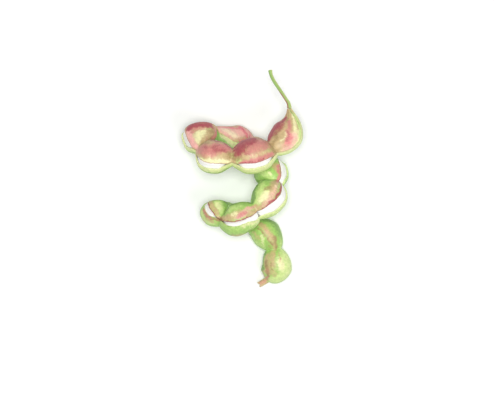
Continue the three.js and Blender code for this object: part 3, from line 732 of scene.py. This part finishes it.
# The stalk: the pod's thin woody stem, grown on the first chamber's tip and cut off at its other end.
# Its middle line runs from where the pod begins to the cut.
STALK = [(20, 29.2, 27), (19.6, 31.2, 27.2), (18.1, 33.6, 27.2), (16.3, 36.4, 26.8),
         (13.9, 40, 26), (12.5, 42.8, 25.3), (12, 45.1, 25)]
STALK_COLOURS = {"green": (148, 182, 98), "fresh": (196, 208, 128), "brown": (168, 122, 92),
                 "cut": (216, 200, 150)}
STALK_FOOT = 0.9  # half its thickness at its foot on the pod
STALK_NARROW = 0.7  # along its length
STALK_CUT = 0.85  # and at the cut, where it spreads a little
STALK_FOOT_END = 0.3  # the share of its length where its foot has thinned
STALK_CUT_START = 0.85  # and where it begins to spread
STALK_RIDGES = 5
RIDGE_HEIGHT = 0.035
RIDGE_TWIST = 2  # radians that the ridges turn along it
STALK_LUMPS = 18  # lumps along it
LUMP_HEIGHT = 0.03
CUT_EDGE = 0.992  # the share of its length from which the cut's edge is rounded
CUT_ROUNDING = 0.5  # and how round it gets: 1 would close it
CUT_FACE = 0.996  # and from which it has the cut's colour
FRESH_SIDE = (0.1, 0.8)  # how far to the right of its middle line it gets fresh green, as a share
FRESH_SHARE = 0.9  # and how fresh at most
BROWN_SIDE = (0.1, -0.8)  # and to the left of it brown
BROWN_END = (0.62, 0.4)  # the shares of its length between which the brown ends
ROUTE_STEP = 0.01  # the share of its length over which its direction is taken
STALK_RINGS = 90
STALK_SIDES = 28
sides = np.linspace(0, 2 * math.pi, STALK_SIDES, endpoint=False)


def along_route(route, share):
    """A point at a share of a smooth line through these points."""
    route = np.array(route, float)
    route = np.concatenate([[2 * route[0] - route[1]], route, [2 * route[-1] - route[-2]]])
    step = share * (len(route) - 3)
    i = min(int(step), len(route) - 4)
    f = step - i
    p, q, r, s = route[i:i + 4]
    return 0.5 * (2 * q + (r - p) * f + (2 * p - 5 * q + 4 * r - s) * f ** 2
                  + (3 * q - p - 3 * r + s) * f ** 3)


def stalk_ring(share):
    """The ring round the stalk at a share of its length."""
    before, after = (along_route(STALK, np.clip(share + step, 0, 1)) for step in (-ROUTE_STEP, ROUTE_STEP))
    ahead = unit(after - before)
    across = unit(np.cross(ahead, (0, 0, 1)))
    radius = STALK_NARROW + smooth(STALK_FOOT_END, 0, share) * (STALK_FOOT - STALK_NARROW)
    radius += smooth(STALK_CUT_START, 1, share) * (STALK_CUT - STALK_NARROW)
    radius += LUMP_HEIGHT * noise.noise(Vector((share * STALK_LUMPS, 0, 0)))
    ridges = RIDGE_HEIGHT * np.cos(STALK_RIDGES * sides + RIDGE_TWIST * share)
    past_edge = max(0, share - CUT_EDGE) / (1 - CUT_EDGE)
    reach = (radius + ridges) * math.sqrt(1 - (past_edge * CUT_ROUNDING) ** 2)
    return (along_route(STALK, share) - MIDDLE + np.outer(reach * np.cos(sides), across)
            + np.outer(reach * np.sin(sides), np.cross(across, ahead)))


shares = np.linspace(0, 1, STALK_RINGS)
stalk = skin("stem", [stalk_ring(share) for share in shares])
to_right = np.tile(np.cos(sides), STALK_RINGS)
from_foot = np.repeat(shares, STALK_SIDES)
lay(stalk, "fresh", smooth(*FRESH_SIDE, to_right) * FRESH_SHARE)
lay(stalk, "brown", smooth(*BROWN_SIDE, to_right) * smooth(*BROWN_END, from_foot))
lay(stalk, "cut", smooth(CUT_FACE, 1, from_foot))
stalk_finish, tree, shader, spot = finish("stalk")
shade = patched(tree, spot, STALK_COLOURS, streak=0.7, wildness=4)
height = use(tree, pores, Place=spot, Pore=0.3, Wrinkle=0.8)
surface(tree, shader, shade, height, bump=(0.6, 0.12), smoothest=0.5, roughest=0.7)
stalk.data.materials.append(stalk_finish)
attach(stalk, "root")
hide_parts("stalk")

# The table and the light: a plain pale table, a broad soft lamp straight above it, a weaker one from
# the lower right, and an even white surround. Sizes are in metres, and the lamps' powers in watts.
TABLE_REACH = 1.5  # from its middle to each side
TABLE_TOP = -0.0002  # just under the pod, so that the two don't share a face
TABLE_COLOUR = (0.98, 0.98, 0.98, 1)
TABLE_ROUGHNESS = 0.8
SURROUND_STRENGTH = 0.3
table_mesh = bpy.data.meshes.new("table")
table_mesh.from_pydata([(x * TABLE_REACH, y * TABLE_REACH, TABLE_TOP)
                        for x, y in ((-1, -1), (1, -1), (1, 1), (-1, 1))], [], [(0, 1, 2, 3)])
table = bpy.data.objects.new("table", table_mesh)
bpy.context.scene.collection.objects.link(table)
table_finish = bpy.data.materials.new("table")
table_finish.use_nodes = True
table_finish.node_tree.nodes["Principled BSDF"].inputs["Base Color"].default_value = TABLE_COLOUR
table_finish.node_tree.nodes["Principled BSDF"].inputs["Roughness"].default_value = TABLE_ROUGHNESS
table_mesh.materials.append(table_finish)

surround = bpy.data.worlds.new("surround")
surround.use_nodes = True
surround.node_tree.nodes["Background"].inputs["Color"].default_value = (1, 1, 1, 1)
surround.node_tree.nodes["Background"].inputs["Strength"].default_value = SURROUND_STRENGTH
bpy.context.scene.world = surround
bpy.context.scene.view_settings.view_transform = "Standard"


def lamp(name, place, size, power):
    data = bpy.data.lights.new(name, "AREA")
    data.shape = "DISK"
    data.size = size
    data.energy = power
    light = bpy.data.objects.new(name, data)
    light.location = place
    light.rotation_euler = (-Vector(place)).to_track_quat("-Z", "Y").to_euler()
    bpy.context.scene.collection.objects.link(light)


lamp("overhead", place=(0, 0, 1), size=0.3, power=6.9)
lamp("key", place=(0.3, -0.3, 0.8), size=0.4, power=1.8)
